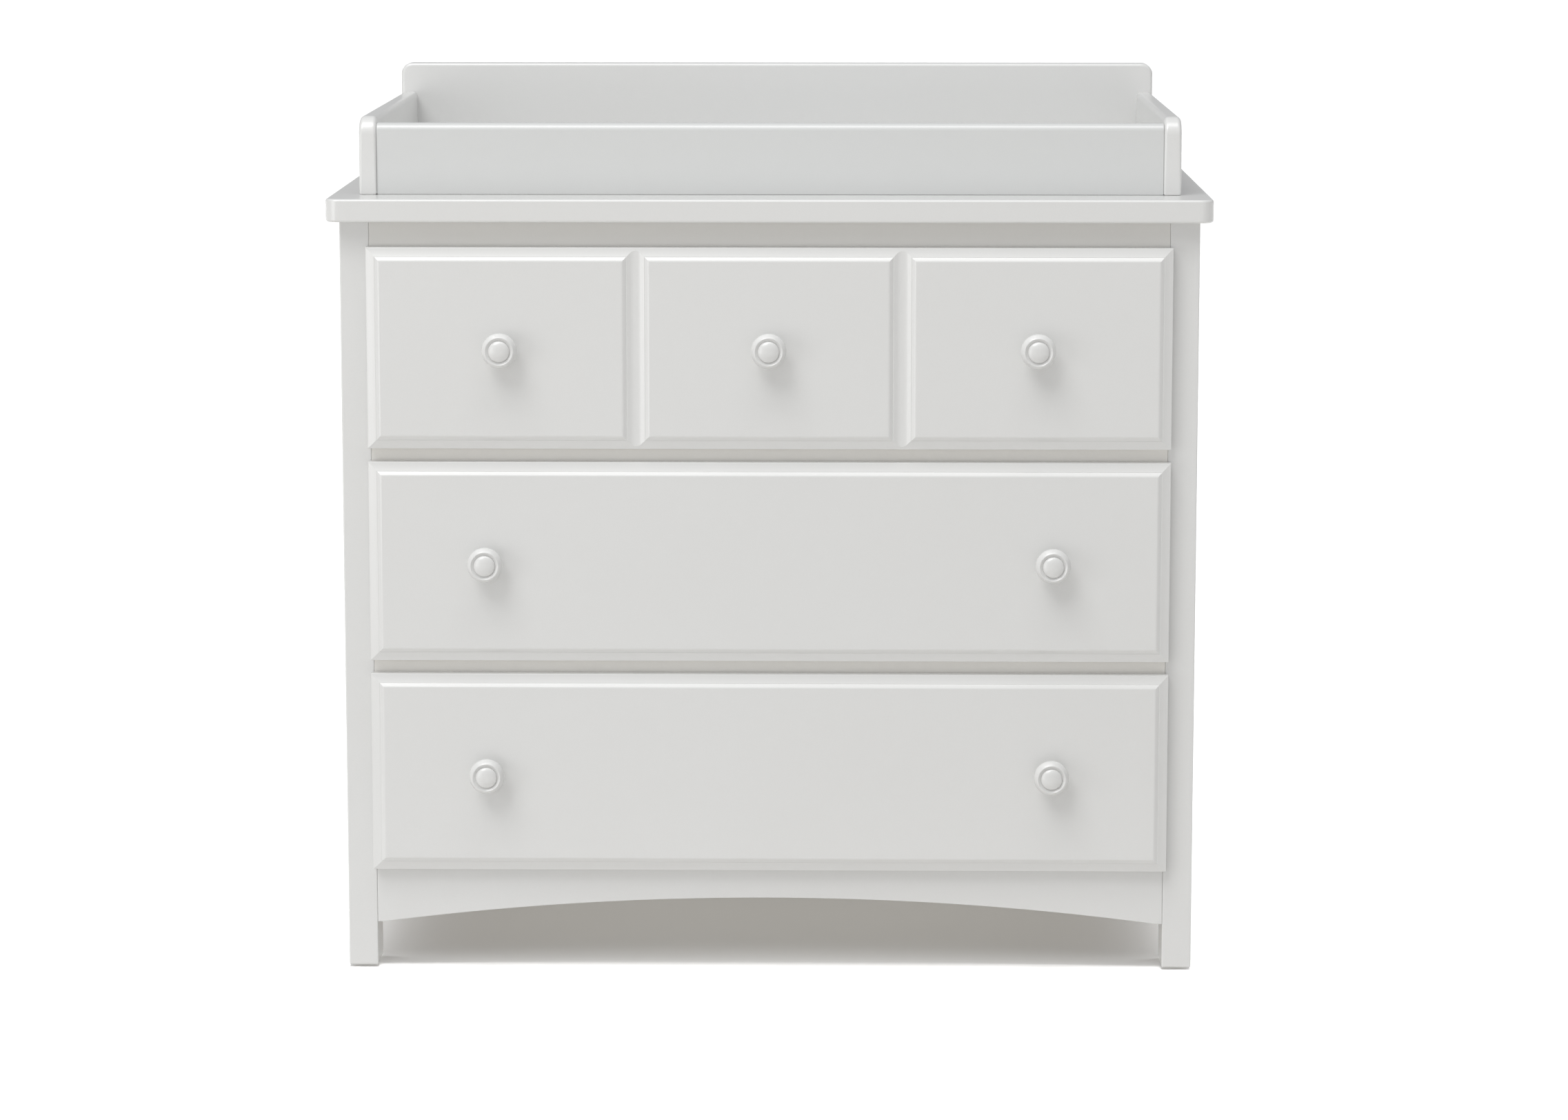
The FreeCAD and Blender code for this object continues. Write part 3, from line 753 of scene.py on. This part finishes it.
def link_light(item, floor, only_floor):
    """Makes a light shine on the floor alone, or on everything but the floor."""
    receivers = bpy.data.collections.new(f"lit_by_{item.name}")
    receivers.objects.link(floor)
    state = "INCLUDE" if only_floor else "EXCLUDE"
    receivers.collection_objects[0].light_linking.link_state = state
    item.light_linking.receiver_collection = receivers


def make_world(ceiling, walls, below):
    """A studio with a bright ceiling, dimmer walls, and a set brightness from below."""
    world = bpy.data.worlds.new("studio")
    world.use_nodes = True
    tree = world.node_tree
    background = tree.nodes["Background"]
    direction = tree.nodes.new("ShaderNodeTexCoord").outputs["Generated"]
    axes = tree.nodes.new("ShaderNodeSeparateXYZ")
    tree.links.new(direction, axes.inputs[0])
    height = tree.nodes.new("ShaderNodeMapRange")
    tree.links.new(axes.outputs["Z"], height.inputs["Value"])
    height.inputs["From Min"].default_value = -1.0
    ramp = tree.nodes.new("ShaderNodeValToRGB").color_ramp
    tree.links.new(height.outputs["Result"], tree.nodes["Color Ramp"].inputs["Fac"])
    tree.links.new(tree.nodes["Color Ramp"].outputs["Color"], background.inputs["Color"])
    ramp.elements[0].position, ramp.elements[1].position = 0.42, 1.0
    ramp.elements.new(0.52)
    for stop, tone in zip(ramp.elements, (below, walls, ceiling)):
        stop.color = rgb(*tone)
    background.inputs["Strength"].default_value = 1.0
    bpy.context.scene.world = world


def make_lights(floor):
    """The object's own lights, and others for the floor alone, which keep it near white."""
    make_world((0.42, 0.425, 0.43), (0.42, 0.42, 0.425), (0.72, 0.705, 0.68))
    key = sun_light("key", (-0.36, -0.48, 0.80), 1.15, 32)
    fill = sun_light("fill", (0.75, -0.35, 0.55), 0.13, 60)
    softbox = area_light("softbox", (-2.1, -1.9, 0.70), (0, -0.2, 0.55), (1.2, 1.6), 10)
    ceiling = area_light("ceiling_panel", (-0.2, -0.9, 3.1), (-0.2, -0.2, 0.6), (2.4, 1.0), 22)
    floor_lights = [
        sun_light("floor_light", (0.01, -0.24, 0.97), 2.85, 14),
        area_light("floor_strip", (0, -0.62, 0.62), (0, -0.15, 0), (1.3, 0.45), 2.5),
        area_light("floor_left", (-0.95, 0, 0.42), (-0.40, -0.05, 0), (0.3, 0.8), 2.5),
        area_light("floor_right", (0.95, 0, 0.42), (0.40, -0.05, 0), (0.3, 0.8), 2.5),
    ]
    for item in (key, fill, softbox, ceiling):
        link_light(item, floor, only_floor=False)
    for item in floor_lights:
        link_light(item, floor, only_floor=True)


def make_camera():
    """The camera stands in front at standing eye height and looks slightly down."""
    camera = bpy.data.cameras.new("camera")
    item = bpy.data.objects.new("camera", camera)
    bpy.context.scene.collection.objects.link(item)
    camera.sensor_fit = "HORIZONTAL"
    camera.sensor_width = 36.0
    camera.lens = 96.49
    camera.shift_y = -0.0932
    camera.dof.use_dof = False
    camera.clip_end = 200.0
    yaw, pitch = -0.01435, 0.13617
    place = Vector((0.0773, -4.5419, 1.1827))
    flat = math.cos(pitch)
    forward = Vector((math.sin(yaw) * flat, math.cos(yaw) * flat, -math.sin(pitch)))
    aim(item, place, place + forward)
    bpy.context.scene.camera = item


make_slab()
make_posts()
make_rails()
make_apron()
make_tray()
make_drawers()
finish_hardware()
make_lights(make_floor())
make_camera()
bpy.context.scene.view_settings.view_transform = "Standard"
